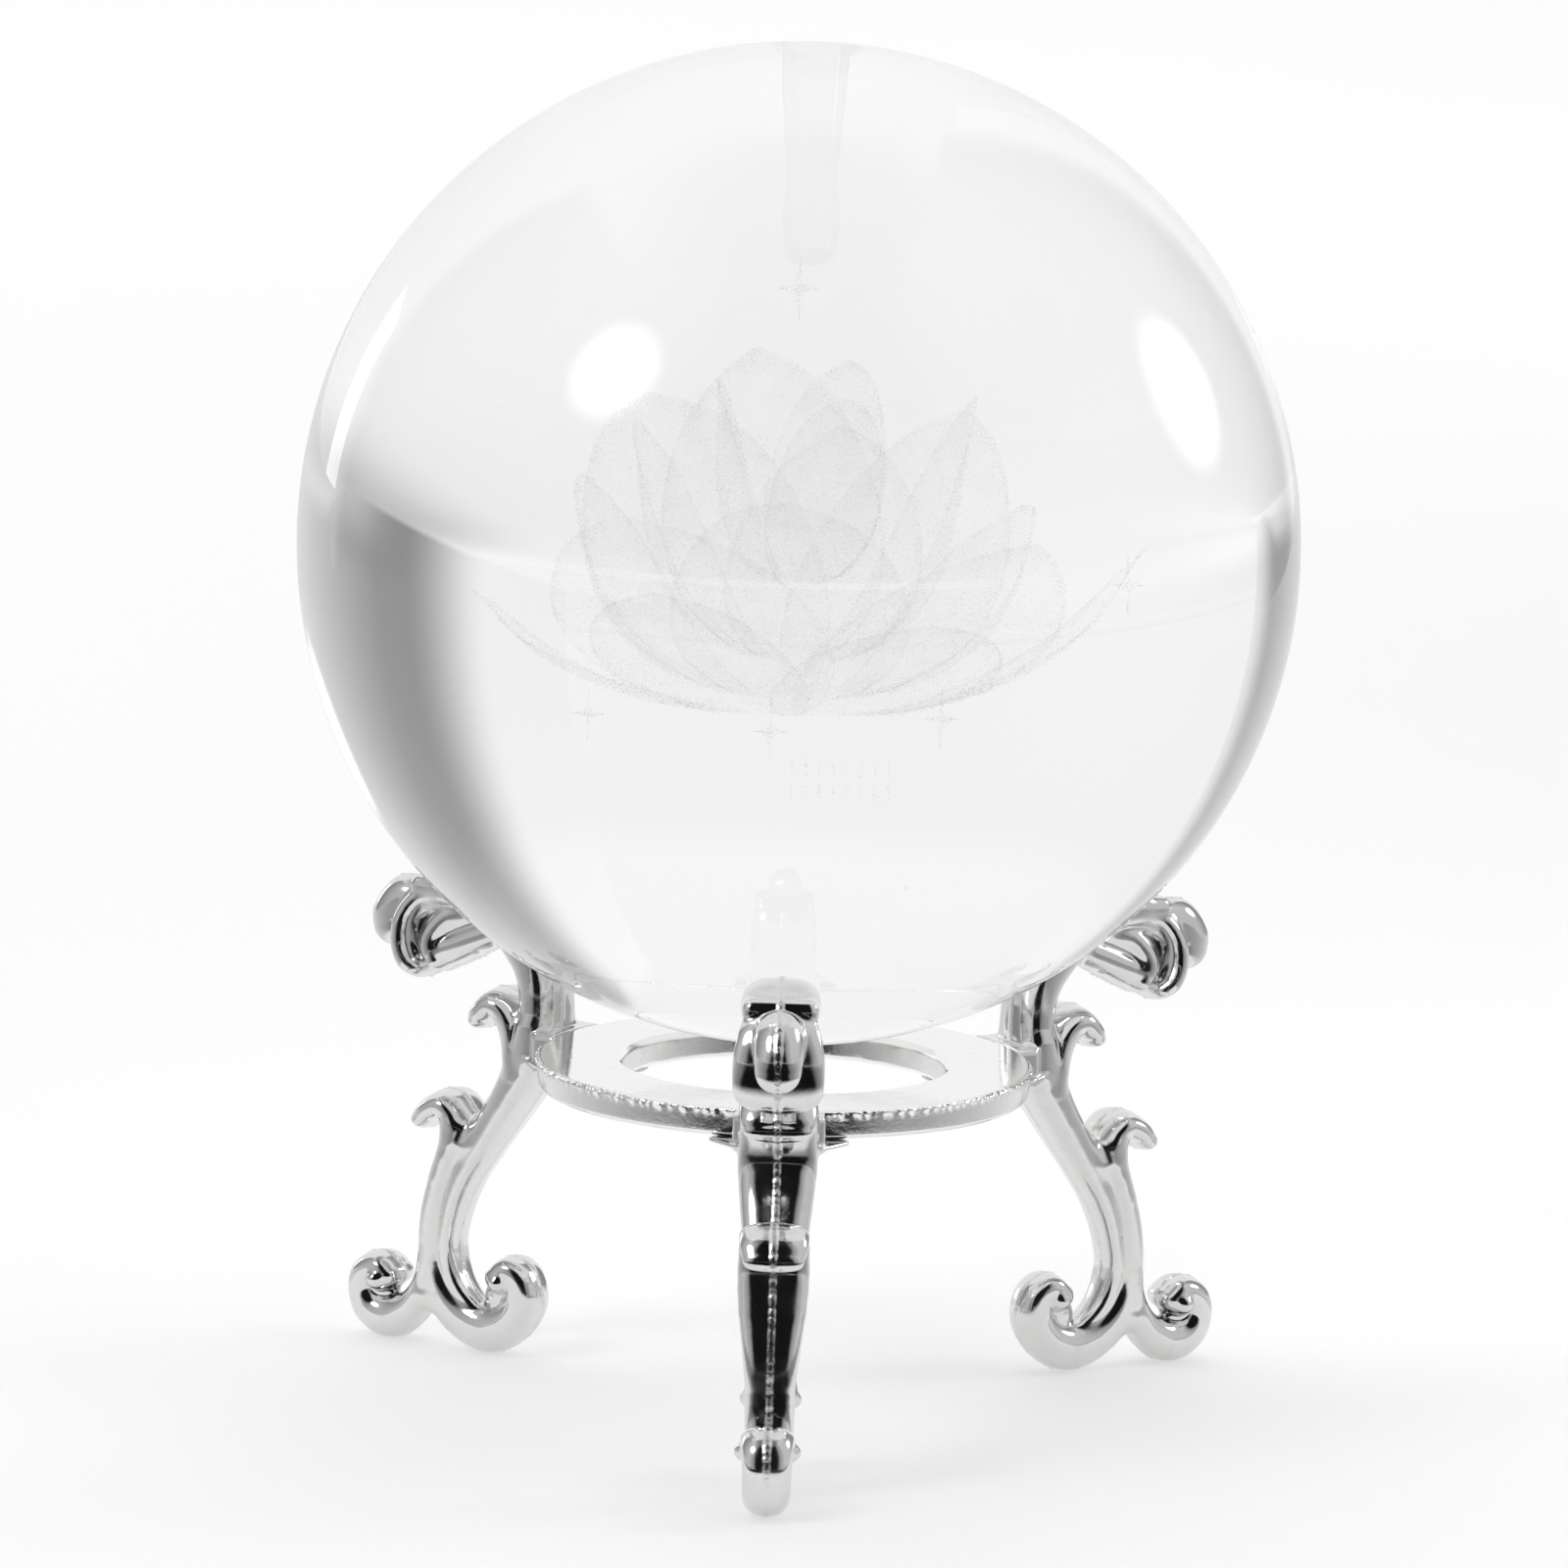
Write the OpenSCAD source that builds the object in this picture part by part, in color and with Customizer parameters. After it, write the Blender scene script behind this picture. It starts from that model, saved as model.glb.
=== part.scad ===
// Crystal ball resting on a three-legged scroll stand.
// A solid glass sphere sits in the cups of three cast legs; the legs carry a flat seat ring
// and are held to it from below, each by one small screw through a lug.
// Millimetres, +Z up, origin on the ring axis at table level, one leg towards -Y.

/* [Ball] */
// Diameter of the solid glass ball
ball_d = 80; // [60:1:100]
// Air left between the glass and the metal where it rests
seat_gap = 0.2; // [0.1:0.05:0.4]

/* [Seat ring] */
// Outer diameter of the flat ring
ring_d = 40; // [36:0.5:42]
// Diameter of the hole in the ring
ring_bore = 26; // [20:0.5:30]
// Thickness of the ring
ring_t = 2.4; // [1.8:0.1:3]
// Height of the ring's top face above the table
ring_top = 28.1; // [27:0.1:30]

/* [Legs] */
// Tangential fullness of the leg casting, 1 = as designed
leg_full = 1; // [0.85:0.05:1.1]
// Width of the lug under the ring
lug_w = 11; // [8:0.5:12]
// Thickness of the lug under the ring
lug_t = 0.8; // [0.6:0.1:1.4]
// Width of the shoulder that meets the rim of the ring
shoulder_w = 7.6; // [6.5:0.1:9]

/* [Screws] */
// Distance of each screw from the axis
screw_r = 16.6; // [15.8:0.1:17]
// Shank diameter of each screw
screw_d = 2.2; // [1.8:0.1:2.6]
// Head diameter of each screw
screw_head = 4.2; // [3.6:0.1:4.8]
// Height of the screw head
screw_k = 1.3; // [1:0.1:1.8]

/* [Hidden] */

// one leg towards -Y, the others a third of a turn away
leg_az = [-90, 30, 150];

// the crest of the neck roll that the glass rests on: radius, height, roll half thickness
crest = [27.2, 37.8, 2.0];
ball_r = ball_d / 2;
// the glass settles until it touches the three crests
ball_z = crest[1] + sqrt(pow(ball_r + crest[2] + seat_gap, 2) - pow(crest[0], 2));

ring_r = ring_d / 2;
ring_low = ring_top - ring_t;
fit = 0.1;            // clearance round the screws and at the rim
tap_depth = 1.7;      // depth of the threaded hole in the ring
SEC = 12;             // corners of a tube section
STEP = 2;             // stations between two guide points

// ---- swept tubes -----------------------------------------------------------------
// A guide point is [radius, height, half thickness in the leg plane, half width].

// smooth curve between b and c
function spl(a, b, c, d, t) =
    0.5 * (2 * b + (c - a) * t + (2 * a - 5 * b + 4 * c - d) * t * t
           + (3 * b - a - 3 * c + d) * t * t * t);

// all stations along a row of guide points
function walk(g, m) = concat(
    [for (i = [0 : len(g) - 2]) for (j = [0 : m - 1])
        spl(g[max(i - 1, 0)], g[i], g[i + 1], g[min(i + 2, len(g) - 1)], j / m)],
    [g[len(g) - 1]]);

// unit direction of travel in the leg plane
function heading(w, i) =
    let (d = w[min(i + 1, len(w) - 1)] - w[max(i - 1, 0)], n = norm([d[0], d[1]]))
    [d[0] / n, d[1] / n];

// a station: [radius, height, heading r, heading z, half thickness, half width]
function stations(w) = [for (i = [0 : len(w) - 1]) let (h = heading(w, i))
    [w[i][0], w[i][1], h[0], h[1], w[i][2], w[i][3]]];

// rounded ends: smaller and smaller sections beyond the last station
function cap(s, sgn) = [for (q = [28, 52, 72])
    [s[0] + sgn * s[2] * s[4] * sin(q), s[1] + sgn * s[3] * s[4] * sin(q),
     s[2], s[3], s[4] * cos(q), s[5] * (0.35 + 0.65 * cos(q))]];

function flip(v) = [for (i = [len(v) - 1 : -1 : 0]) v[i]];

// rounds (e = 2) or squares off (e > 2) a section
function sq(c, e) = sign(c) * pow(abs(c), 2 / e);

// one closed section of a tube
function section(s, e) = [for (k = [0 : SEC - 1]) let (f = 360 * k / SEC,
    u = s[4] * sq(cos(f), e), v = s[5] * leg_full * sq(sin(f), e))
    [s[0] - s[3] * u, v, s[1] + s[2] * u]];

// swept solid through the guide points g: section squareness e, m stations per span
module tube(g, e = 2.2, m = STEP) {
    mid = stations(walk(g, m));
    all = concat(flip(cap(mid[0], -1)), mid, cap(mid[len(mid) - 1], 1));
    n = len(all);
    a0 = all[0];
    a1 = all[n - 1];
    tip0 = [a0[0] - a0[2] * 0.12, 0, a0[1] - a0[3] * 0.12];
    tip1 = [a1[0] + a1[2] * 0.12, 0, a1[1] + a1[3] * 0.12];
    pts = concat([for (s = all) each section(s, e)], [tip0, tip1]);
    side = [for (i = [0 : n - 2]) for (k = [0 : SEC - 1])
        let (a = i * SEC + k, b = i * SEC + (k + 1) % SEC) each [
            [a, b, b + SEC], [a, b + SEC, a + SEC]]];
    end0 = [for (k = [0 : SEC - 1]) [n * SEC, (k + 1) % SEC, k]];
    end1 = [for (k = [0 : SEC - 1]) let (q = (n - 1) * SEC) [q + k, q + (k + 1) % SEC, n * SEC + 1]];
    polyhedron(points = pts, faces = concat(side, end0, end1), convexity = 6);
}

// a flattened bead in the leg plane
module bead(r, z, a, b, f = 16) translate([r, 0, z]) scale([a, b * leg_full, a]) sphere(r = 1, $fn = f);

// ---- leg guide lines ---------------------------------------------------------------

// neck: up from the ring, out under the glass, ending in the broad top roll
neck = [[22.7, 25.6, 1.6, 3.1], [22.7, 30.0, 1.6, 2.9], [23.3, 33.0, 1.8, 2.7],
        [25.1, 35.7, 2.0, 2.7], [crest[0], crest[1], crest[2], 2.8],
        [29.7, 38.7, 1.9, 3.0], [31.9, 38.8, 1.7, 3.05], [33.3, 38.3, 1.45, 2.7]];
// head lobes, small inner one to wide outer one, and the tongue between the wide ones
lobe_a = [[26.6, 35.8, 1.4, 2.2], [29.2, 34.6, 1.6, 2.4], [31.7, 33.2, 1.4, 2.5]];
lobe_b = [[29.4, 36.9, 1.3, 2.3], [31.8, 36.0, 1.2, 2.7], [32.9, 34.3, 1.1, 2.9],
          [32.9, 32.7, 1.0, 2.7]];
lobe_c = [[31.0, 37.6, 1.5, 2.2], [33.5, 37.0, 1.5, 2.7], [34.9, 35.3, 1.45, 3.3],
          [35.0, 33.3, 1.4, 3.5], [34.0, 31.9, 1.35, 3.2]];
tongue = [[34.4, 37.1, 1.7, 1.8], [36.4, 37.1, 1.95, 1.95], [37.5, 35.8, 1.95, 1.95],
          [37.6, 34.9, 1.85, 1.85]];
// upper stem: from the ring down the inside of the leg, thinning towards the inner scroll
upper = [[22.9, 28.0, 1.6, 3.1], [23.7, 24.9, 1.85, 3.1], [25.2, 22.1, 1.6, 2.9],
         [26.9, 19.5, 1.5, 2.6], [28.5, 17.0, 1.35, 2.4], [29.9, 14.3, 1.05, 2.2],
         [30.9, 11.4, 0.85, 1.95], [31.3, 8.6, 0.75, 1.8], [30.6, 5.8, 0.8, 1.6],
         [28.9, 3.8, 0.75, 1.4], [27.3, 3.3, 0.5, 1.0]];
// lower stem: from the lower flourish down and round the inner foot scroll
lower = [[30.5, 19.0, 1.3, 2.75], [30.8, 17.0, 1.1, 2.75], [31.7, 14.4, 1.1, 2.6],
         [32.5, 11.5, 1.2, 2.25], [32.8, 8.6, 1.25, 1.95], [32.4, 5.6, 1.45, 1.9],
         [30.6, 3.1, 1.7, 1.9], [27.7, 1.85, 1.95, 1.9], [25.3, 2.8, 1.75, 1.9],
         [24.0, 4.6, 1.55, 1.9], [24.2, 6.4, 1.35, 1.95], [25.3, 7.2, 1.2, 2.05],
         [26.3, 6.6, 1.05, 2.1]];
// outer foot scroll, branching off the lower stem
outer = [[33.0, 8.0, 0.9, 1.7], [33.6, 5.2, 1.05, 1.85], [34.8, 3.0, 1.45, 1.9],
         [36.9, 1.7, 1.8, 1.9], [38.9, 2.2, 1.65, 1.9], [39.8, 3.8, 1.4, 1.9],
         [39.3, 5.3, 1.3, 2.0], [38.0, 5.9, 1.2, 2.1], [36.9, 5.3, 1.05, 2.1]];
// flourishes: short waves that leave the stem outwards and roll over
flourish_low = [[31.7, 14.4, 1.0, 2.5], [30.8, 17.0, 1.1, 2.7], [30.5, 19.1, 1.4, 2.75],
                [31.5, 20.4, 1.25, 2.75], [32.9, 20.0, 1.1, 2.7], [33.8, 19.1, 0.95, 2.4]];
flourish_top = [[24.4, 24.0, 1.1, 3.0], [24.8, 26.8, 1.15, 3.1], [25.5, 28.9, 1.4, 3.1],
                [26.8, 29.6, 1.25, 3.1], [27.9, 28.8, 1.1, 3.0], [28.3, 28.2, 0.95, 2.7]];

// ---- leg ---------------------------------------------------------------------------

// rolled end of a scroll: a boss that stands proud of both sides, dished in the middle
module eye(r, z, a, b) {
    difference() {
        hull() {
            bead(r, z, a, b * 0.8);
            bead(r, z, a * 0.72, b);
        }
        for (s = [-1, 1])
            translate([r + 0.2, s * b * leg_full * 1.45, z - 0.2]) sphere(r = b * 0.62, $fn = 16);
    }
}

// thin web that closes the eye of a scroll
module web(r, z, a, b) hull() {
    bead(r - 0.3, z, a, b);
    bead(r + 0.3, z, a, b);
}

module lug() {
    z0 = ring_low - lug_t;
    // flat lug under the ring, rounded at its inner end
    translate([0, 0, z0]) hull() {
        translate([screw_r - 0.2, 0, 0]) cylinder(r = 3.1, h = lug_t, $fn = 32);
        translate([19.0, -lug_w / 2, 0]) cube([0.8, lug_w, lug_t]);
        translate([22.4, -3, 0]) cube([0.6, 6, lug_t]);
    }
    // shoulder beside the rim, flush with the top of the ring
    hull() {
        translate([19.4, -shoulder_w / 2, z0]) cube([2.6, shoulder_w, lug_t + ring_t - 0.35]);
        translate([19.4, -shoulder_w / 2 + 0.35, z0]) cube([2.8, shoulder_w - 0.7, lug_t + ring_t]);
    }
    // fillet under the lug, running into the stem
    hull() {
        translate([20.2, -2.4, z0 - 0.1]) cube([1, 4.8, 0.3]);
        translate([22.4, -2.6, z0 - 1.8]) cube([1.4, 5.2, 1.6]);
    }
}

module head() {
    tube(neck, 2.5);
    tube(lobe_a, 2.2);
    tube(lobe_b, 2.2);
    tube(lobe_c, 2.2);
    tube(tongue, 2.1);
    // body of the head behind the lobes
    hull() {
        bead(28.6, 36.4, 1.7, 2.0);
        bead(33.0, 34.6, 1.9, 2.2);
        bead(33.6, 36.4, 1.6, 1.9);
    }
}

module leg_casting() {
    difference() {
        union() {
            head();
            tube(upper, 2.6);
            tube(lower, 2.3);
            tube(outer, 2.2);
            tube(flourish_low, 2.2);
            tube(flourish_top, 2.2);
            lug();
            eye(26.0, 6.1, 1.4, 2.35);
            eye(37.9, 5.1, 1.7, 2.45);
            web(25.9, 4.8, 1.5, 1.2);
            web(38.2, 4.0, 1.6, 1.1);
            // fillet where the two foot scrolls part
            hull() {
                bead(32.5, 4.2, 1.4, 1.75);
                bead(33.2, 3.4, 1.3, 1.7);
            }
        }
        // flat inner face above the ring, with the seat for the ring's rim
        translate([21.1 - 6, -6, ring_top]) cube([6, 12, 5]);
        translate([0, 0, ring_low]) cylinder(r = ring_r + fit, h = ring_t + 6, $fn = 96);
        // flat underside of the lug and clearance for the screw
        translate([screw_r, 0, ring_low - lug_t - 3]) cylinder(r = screw_head / 2 + 0.4, h = 3, $fn = 32);
        translate([screw_r, 0, ring_low - lug_t - 4])
            cylinder(r = screw_d / 2 + fit, h = lug_t + 6, $fn = 24);
        // hollow flanks of the two flourishes
        for (s = [-1, 1]) {
            translate([31.2, s * 3.9, 18.9]) sphere(r = 2.1, $fn = 20);
            translate([26.1, s * 4.3, 27.9]) sphere(r = 2.2, $fn = 20);
        }
        // small flats the feet stand on
        translate([20, -6, -2]) cube([24, 12, 2]);
    }
}

module leg(k) rotate([0, 0, leg_az[k]]) leg_casting();

// ---- pieces ------------------------------------------------------------------------

// solid glass ball
module crystal_ball() {
    color([0.92, 0.95, 0.97, 0.45]) translate([0, 0, ball_z]) sphere(r = ball_r, $fn = 180);
}

// flat ring with softened edges and three threaded holes from below
module seat_ring() {
    ri = ring_bore / 2;
    color([0.80, 0.81, 0.83]) difference() {
        rotate_extrude($fn = 144) polygon([
            [ri + 0.3, ring_low], [ring_r - 0.3, ring_low], [ring_r, ring_low + 0.3],
            [ring_r, ring_top - 0.25], [ring_r - 0.25, ring_top], [ri + 0.45, ring_top],
            [ri, ring_top - 0.45], [ri, ring_low + 0.3]]);
        for (k = [0 : 2]) rotate([0, 0, leg_az[k]])
            translate([screw_r, 0, ring_low - 1]) cylinder(r = screw_d / 2 + fit, h = 1 + tap_depth, $fn = 32);
    }
}

module leg_front() { color([0.76, 0.77, 0.79]) leg(0); }
module leg_right() { color([0.76, 0.77, 0.79]) leg(1); }
module leg_left() { color([0.76, 0.77, 0.79]) leg(2); }

// pan-head screw with a cross recess, driven from below
module screw(k) {
    z0 = ring_low - lug_t;
    rotate([0, 0, leg_az[k]]) translate([screw_r, 0, z0]) difference() {
        union() {
            translate([0, 0, -screw_k]) cylinder(r1 = screw_head / 2 - 0.4, r2 = screw_head / 2, h = 0.5, $fn = 32);
            translate([0, 0, -screw_k + 0.5]) cylinder(r = screw_head / 2, h = screw_k - 0.5, $fn = 32);
            cylinder(r = screw_d / 2, h = lug_t + tap_depth - 0.6, $fn = 32);
            translate([0, 0, lug_t + tap_depth - 0.6])
                cylinder(r1 = screw_d / 2, r2 = screw_d / 2 - 0.4, h = 0.4, $fn = 32);
        }
        for (a = [0, 90]) rotate([0, 0, a])
            translate([-1.2, -0.25, -screw_k - 0.1]) cube([2.4, 0.5, 0.8]);
    }
}

module screw_front() { color([0.70, 0.71, 0.73]) screw(0); }
module screw_right() { color([0.70, 0.71, 0.73]) screw(1); }
module screw_left() { color([0.70, 0.71, 0.73]) screw(2); }

crystal_ball();
seat_ring();
leg_front();
leg_right();
leg_left();
screw_front();
screw_right();
screw_left();
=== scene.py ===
# Crystal ball on a plated three-leg stand: looks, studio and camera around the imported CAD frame.
import bpy, math
import numpy as np
from mathutils import Matrix, Vector


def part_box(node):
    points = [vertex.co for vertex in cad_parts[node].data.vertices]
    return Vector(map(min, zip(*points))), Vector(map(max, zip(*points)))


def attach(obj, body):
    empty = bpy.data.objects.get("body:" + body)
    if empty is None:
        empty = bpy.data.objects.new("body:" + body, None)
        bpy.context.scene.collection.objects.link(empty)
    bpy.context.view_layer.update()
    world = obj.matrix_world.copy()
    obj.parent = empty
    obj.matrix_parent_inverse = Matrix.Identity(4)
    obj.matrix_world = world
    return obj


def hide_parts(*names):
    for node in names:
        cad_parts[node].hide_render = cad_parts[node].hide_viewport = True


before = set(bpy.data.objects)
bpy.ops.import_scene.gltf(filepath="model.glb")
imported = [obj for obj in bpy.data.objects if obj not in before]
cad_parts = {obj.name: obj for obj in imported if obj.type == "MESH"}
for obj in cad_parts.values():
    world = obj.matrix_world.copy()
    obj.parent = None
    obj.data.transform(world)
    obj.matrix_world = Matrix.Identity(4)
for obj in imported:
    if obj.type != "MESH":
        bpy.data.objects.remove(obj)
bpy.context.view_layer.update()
MM = 0.001                  # metres in a millimetre
TURN = 6.283                # radians in a full turn, as the seeded draws use it
DEG = 57.2958               # degrees in a radian
WHITE = (1, 1, 1, 1)

def span(node):
    """A node's box as two arrays, low corner and high corner, in millimetres."""
    lo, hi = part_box(node)
    return np.array(lo) / MM, np.array(hi) / MM

_, ball_hi = span("crystal_ball")
ring_lo, ring_hi = span("seat_ring")
BALL_R = ball_hi[0]
BALL_C = np.array([0.0, 0.0, ball_hi[2] - BALL_R])
RING_R = (ring_hi[1] - ring_lo[1]) / 2
RING_TOP, RING_LOW = ring_hi[2], ring_lo[2]
LEGS = {"leg_front": -90.0, "leg_right": 30.0, "leg_left": 150.0}   # angle about the stand's axis, degrees

# millimetres, as in the CAD source
LUG_T = 0.8                 # thickness of the lug under the ring
BORE_R = 13.0               # radius of the ring's hole
RING_MID = 26.9             # height of the middle of the ring's outer wall
SCREW_R = 16.6              # distance of a screw from the stand's axis
SEAT_Z, SEAT_R = 70.06, 40.15   # sphere cut from the heads: the ball with 0.15 mm of air round it
GRID = 0.16     # spacing of the legs' distance field
RING_STEPS = 900
BALL_STEPS = 126

# ---------------------------------------------------------------- mesh and node helpers

def make(name, V, F, mat, body=None, node=None, smooth=True, turn=0.0, rim=None):
    """Mesh object from points in millimetres and faces; turn is its angle about the stand's axis."""
    me = bpy.data.meshes.new(name)
    V = np.asarray(V, float) * MM
    F = np.asarray(F, np.int64)
    me.vertices.add(len(V)); me.vertices.foreach_set("co", V.ravel())
    k = F.shape[1]
    me.loops.add(F.size); me.loops.foreach_set("vertex_index", F.ravel())
    me.polygons.add(len(F))
    me.polygons.foreach_set("loop_start", np.arange(0, F.size, k))
    me.polygons.foreach_set("use_smooth", np.full(len(F), smooth))
    me.update(calc_edges=True); me.validate()
    if rim is not None:
        me.attributes.new("rim", "FLOAT", "POINT").data.foreach_set("value", np.asarray(rim, np.float32))
    ob = bpy.data.objects.new(name, me)
    ob.rotation_euler = (0, 0, math.radians(turn))
    bpy.context.scene.collection.objects.link(ob)
    me.materials.append(mat)
    bpy.context.view_layer.update()
    if node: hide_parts(*([node] if isinstance(node, str) else node))
    if body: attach(ob, body)
    return ob

class Tree:
    """Short way to write a node tree."""
    def __init__(self, nt): self.nt = nt
    def add(self, kind, props=None, **sockets):
        n = self.nt.nodes.new(kind)
        for k, v in (props or {}).items(): setattr(n, k, v)
        for k, v in sockets.items():
            key = int(k[1:]) if k[0] == "i" and k[1:].isdigit() else k.replace("_", " ")
            s = n.inputs[key]
            if isinstance(v, bpy.types.NodeSocket): self.nt.links.new(v, s)
            else: s.default_value = v
        return n
    def math(self, op, a, b=0.0, c=0.0):
        n = self.nt.nodes.new("ShaderNodeMath"); n.operation = op
        for i, v in enumerate((a, b, c)):
            if isinstance(v, bpy.types.NodeSocket): self.nt.links.new(v, n.inputs[i])
            else: n.inputs[i].default_value = v
        return n.outputs[0]
    def remap(self, v, a, b, c=0.0, d=1.0, soft=True):
        """Maps a..b to c..d: eased and clamped if soft, else straight and clamped."""
        n = self.nt.nodes.new("ShaderNodeMapRange")
        n.interpolation_type = "SMOOTHSTEP" if soft else "LINEAR"
        self.nt.links.new(v, n.inputs[0])
        for i, x in enumerate((a, b, c, d)): n.inputs[i + 1].default_value = x
        return n.outputs[0]
    def noise(self, vec, scale, detail=2.0, rough=0.5):
        n = self.add("ShaderNodeTexNoise", Vector=vec, Scale=scale, Detail=detail, Roughness=rough)
        return n.outputs["Fac"] if "Fac" in n.outputs else n.outputs[0]
    def mixc(self, fac, a, b):
        n = self.nt.nodes.new("ShaderNodeMix"); n.data_type = "RGBA"
        for i, v in ((0, fac), (6, a), (7, b)):
            if isinstance(v, bpy.types.NodeSocket): self.nt.links.new(v, n.inputs[i])
            else: n.inputs[i].default_value = v
        return n.outputs[2]
    def bump(self, height, metres):
        return self.add("ShaderNodeBump", Height=height, Distance=metres, Strength=1.0).outputs[0]
    def object_mm(self):
        """The piece's own coordinates in millimetres."""
        co = self.add("ShaderNodeTexCoord").outputs["Object"]
        return self.add("ShaderNodeVectorMath", {"operation": "SCALE"}, i0=co, Scale=1000.0).outputs[0]
    def finish(self, shader):
        self.nt.links.new(shader.outputs[0], self.out.inputs[0])
    def glow(self, strength, cover=None):
        """Plain light, see-through where cover is 0."""
        e = self.add("ShaderNodeEmission", Color=WHITE, Strength=strength)
        if cover is not None:
            clear = self.add("ShaderNodeBsdfTransparent", Color=WHITE)
            e = self.add("ShaderNodeMixShader", i0=cover, i1=clear.outputs[0], i2=e.outputs[0])
        self.finish(e)

def material(name):
    m = bpy.data.materials.new(name); m.use_nodes = True
    m.node_tree.nodes.clear()
    t = Tree(m.node_tree)
    t.out = t.add("ShaderNodeOutputMaterial")
    return m, t

def grey(v, tint=0.0): return (v * (1 - tint), v, v * (1 + tint), 1.0)

def grid_quads(rows, cols):
    """Faces of an open grid of rows by cols points."""
    i, j = np.meshgrid(np.arange(rows - 1), np.arange(cols - 1), indexing="ij")
    near, far = i * cols + j, (i + 1) * cols + j
    return np.stack([near, far, far + 1, near + 1], -1).reshape(-1, 4)

# ---- leg casting: signed distance field of swept strands, in millimetres, leg frame ----
# a guide point is [radius, height, half thickness in the leg plane, half width]
NECK = [[22.7, 25.6, 1.6, 3.1], [22.7, 30.0, 1.6, 2.9], [23.3, 33.0, 1.8, 2.7],
        [25.1, 35.7, 2.0, 2.7], [27.2, 37.8, 2.0, 2.8],
        [29.7, 38.65, 1.88, 3.0], [31.9, 38.72, 1.7, 3.05], [33.3, 38.3, 1.45, 2.7]]
UPPER = [[22.9, 28.0, 1.6, 3.1], [23.7, 24.9, 1.85, 3.1], [25.2, 22.1, 1.6, 2.9],
         [26.9, 19.5, 1.5, 2.6], [28.5, 17.0, 1.35, 2.4], [29.9, 14.3, 1.05, 2.2],
         [30.9, 11.4, 0.85, 1.95], [31.3, 8.6, 0.75, 1.8], [30.6, 5.8, 0.8, 1.6],
         [28.9, 3.8, 0.75, 1.4], [27.3, 3.3, 0.5, 1.0]]
LOWER = [[30.5, 19.0, 1.3, 2.75], [30.8, 17.0, 1.1, 2.75], [31.7, 14.4, 1.1, 2.6],
         [32.5, 11.5, 1.2, 2.25], [32.8, 8.6, 1.25, 1.95], [32.4, 5.6, 1.45, 1.9],
         [30.6, 3.1, 1.7, 1.9], [27.7, 1.9, 1.9, 1.9], [25.3, 2.8, 1.75, 1.9],
         [24.0, 4.6, 1.55, 1.9], [24.2, 6.4, 1.35, 1.95], [25.3, 7.2, 1.2, 2.05],
         [26.3, 6.6, 1.05, 2.1]]
OUTER = [[33.0, 8.0, 0.9, 1.7], [33.6, 5.2, 1.05, 1.85], [34.8, 3.0, 1.45, 1.9],
         [36.9, 1.7, 1.8, 1.9], [38.85, 2.2, 1.65, 1.9], [39.7, 3.8, 1.38, 1.9],
         [39.3, 5.3, 1.3, 2.0], [38.0, 5.9, 1.2, 2.1], [36.9, 5.3, 1.05, 2.1]]
WAVE_LOW = [[31.7, 14.4, 1.0, 2.5], [30.8, 17.0, 1.1, 2.7], [30.5, 19.1, 1.4, 2.75],
            [31.5, 20.4, 1.25, 2.75], [32.9, 20.0, 1.1, 2.7], [33.8, 19.1, 0.95, 2.4]]
WAVE_TOP = [[24.4, 24.0, 1.1, 3.0], [24.8, 26.8, 1.15, 3.1], [25.5, 28.9, 1.4, 3.1],
            [26.8, 29.6, 1.25, 3.1], [27.9, 28.8, 1.1, 3.0], [28.3, 28.2, 0.95, 2.7]]
TONGUE = [[34.4, 37.1, 1.7, 1.8], [36.4, 37.1, 1.95, 1.95], [37.5, 35.8, 1.95, 1.95],
          [37.6, 34.9, 1.85, 1.85]]
LOBE_A = [[26.6, 35.8, 1.3, 2.2], [29.2, 34.7, 1.45, 2.45], [31.9, 33.6, 1.3, 2.6]]
LOBE_A2 = [[29.3, 33.9, 0.8, 1.9], [31.0, 33.0, 0.85, 2.1], [32.3, 32.4, 0.7, 2.1]]
LOBE_B = [[29.4, 36.8, 1.2, 2.2], [31.4, 36.3, 1.3, 2.65], [32.6, 35.0, 1.35, 2.95],
          [32.9, 33.6, 1.3, 3.0], [32.5, 32.6, 1.05, 2.75]]
LOBE_C = [[31.6, 38.1, 1.0, 2.3], [33.9, 37.8, 1.1, 2.9], [35.2, 36.2, 1.15, 3.4],
           [35.5, 34.2, 1.2, 3.55], [35.0, 32.5, 1.2, 3.45], [34.3, 31.9, 1.1, 3.1]]

def spline(guide, step=0.12):
    """Catmull-Rom through the guide points, resampled about every step mm."""
    g = np.array(guide, float)
    p = np.vstack([2 * g[0] - g[1], g, 2 * g[-1] - g[-2]])
    out = []
    for i in range(1, len(p) - 2):
        n = max(3, int(np.linalg.norm(p[i + 1][:2] - p[i][:2]) / step))
        t = (np.arange(n) / n)[:, None]
        a, b, c, d = p[i - 1], p[i], p[i + 1], p[i + 2]
        out.append(0.5 * (2 * b + (c - a) * t + (2 * a - 5 * b + 4 * c - d) * t ** 2
                          + (3 * b - a - 3 * c + d) * t ** 3))
    return np.vstack(out + [g[-1:]])

def smin(a, b, k):
    """Union of two distances, blended over k mm."""
    h = np.clip(k - np.abs(a - b), 0, None) / k
    return np.minimum(a, b) - h * h * k * 0.25

def smax(a, b, k):
    """Intersection of two distances, blended over k mm."""
    return -smin(-a, -b, k)

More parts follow.
